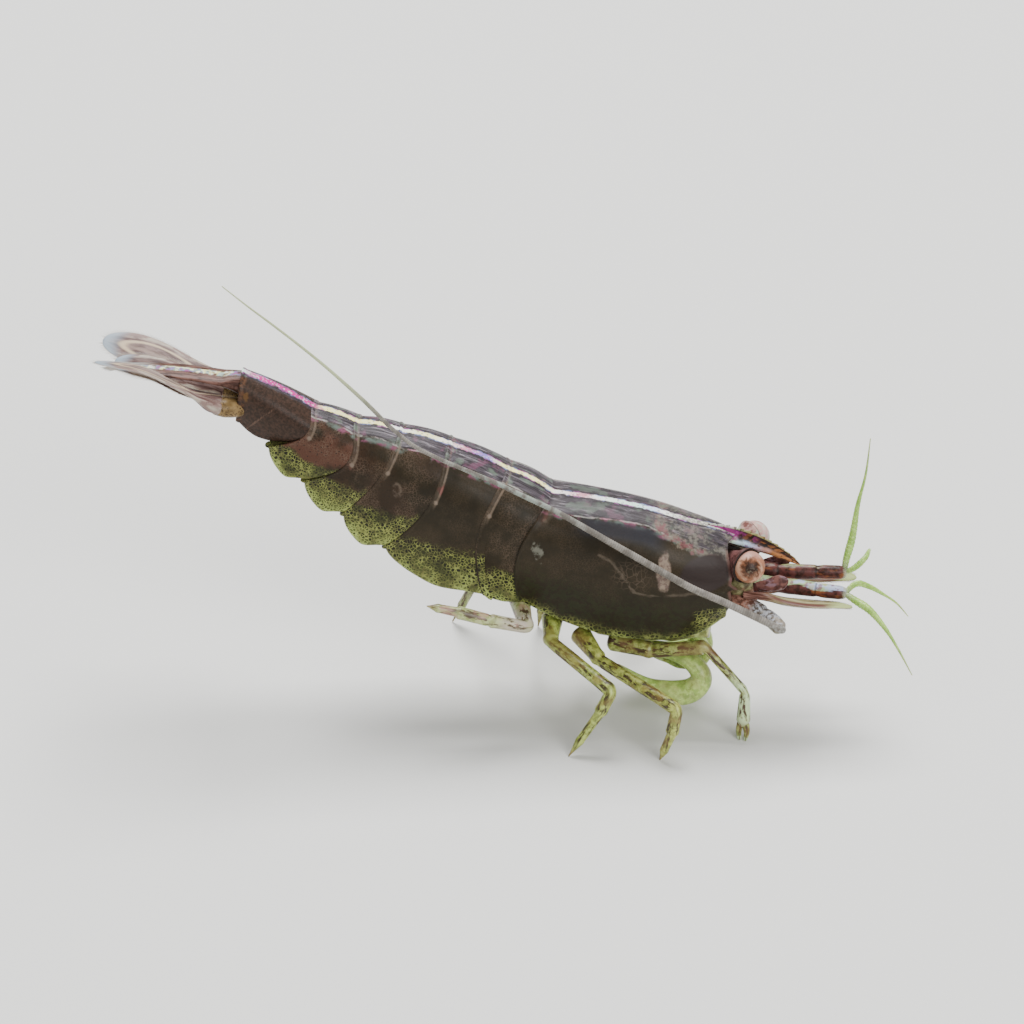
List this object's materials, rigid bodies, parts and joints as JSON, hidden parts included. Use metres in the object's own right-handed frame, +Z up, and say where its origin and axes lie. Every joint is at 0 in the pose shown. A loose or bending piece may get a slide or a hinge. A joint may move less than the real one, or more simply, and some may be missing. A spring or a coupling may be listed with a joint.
{
  "type": "shrimp",
  "caption": "Still model of a dwarf aquarium shrimp standing on its walking legs, tail raised, one antenna swept back over its flank.",
  "frame": {"origin": "on the floor, at the middle of the model's footprint", "axes": "+X from tail to head, +Y to the animal's left, +Z up"},
  "size_m": [0.032, 0.0102, 0.0191],
  "materials": {
    "shell": "dark chocolate-brown shell, glossy and slightly translucent",
    "belly": "soft green-brown underside",
    "fan": "thin translucent tail blades, brown and cream",
    "limb": "yellow-green legs with brown mottling",
    "feeler": "pale ringed feelers",
    "stem": "red-brown feeler stems and face",
    "eye": "polished copper-brown eye"
  },
  "bodies": {
    "root": {"abdomen_1": "shell", "abdomen_2": "shell", "abdomen_3": "shell", "abdomen_4": "shell", "abdomen_5": "shell", "abdomen_6": "shell", "antenna_scale_left": "fan", "antenna_scale_right": "fan", "antenna_stem_left": "stem", "antenna_stem_right": "stem", "antenna_whip_left_1": "feeler", "antenna_whip_left_2": "feeler", "antenna_whip_left_3": "feeler", "antenna_whip_right_1": "feeler", "antenna_whip_right_2": "feeler", "antenna_whip_right_3": "feeler", "antennule_feeler_left_inner": "feeler", "antennule_feeler_left_outer": "feeler", "antennule_feeler_right_inner": "feeler", "antennule_feeler_right_outer": "feeler", "antennule_stem_left": "stem", "antennule_stem_right": "stem", "breast_plate": "belly", "carapace": "shell", "eye_left": "eye", "eye_right": "eye", "eyestalk_left": "shell", "eyestalk_right": "shell", "face": "stem", "jaw_foot_left": "limb", "jaw_foot_right": "limb", "leg_1_left": "limb", "leg_1_right": "limb", "leg_2_left": "limb", "leg_2_right": "limb", "leg_3_left": "limb", "leg_3_right": "limb", "leg_4_left": "limb", "leg_4_right": "limb", "leg_5_left": "limb", "leg_5_right": "limb", "rostrum": "shell", "swimmeret_1_left": "belly", "swimmeret_1_right": "belly", "swimmeret_2_left": "belly", "swimmeret_2_right": "belly", "swimmeret_3_left": "belly", "swimmeret_3_right": "belly", "swimmeret_4_left": "belly", "swimmeret_4_right": "belly", "swimmeret_5_left": "belly", "swimmeret_5_right": "belly", "telson": "fan", "uropod_base_left": "fan", "uropod_base_right": "fan", "uropod_inner_left": "fan", "uropod_inner_right": "fan", "uropod_outer_left": "fan", "uropod_outer_right": "fan"}
  },
  "joints": []
}
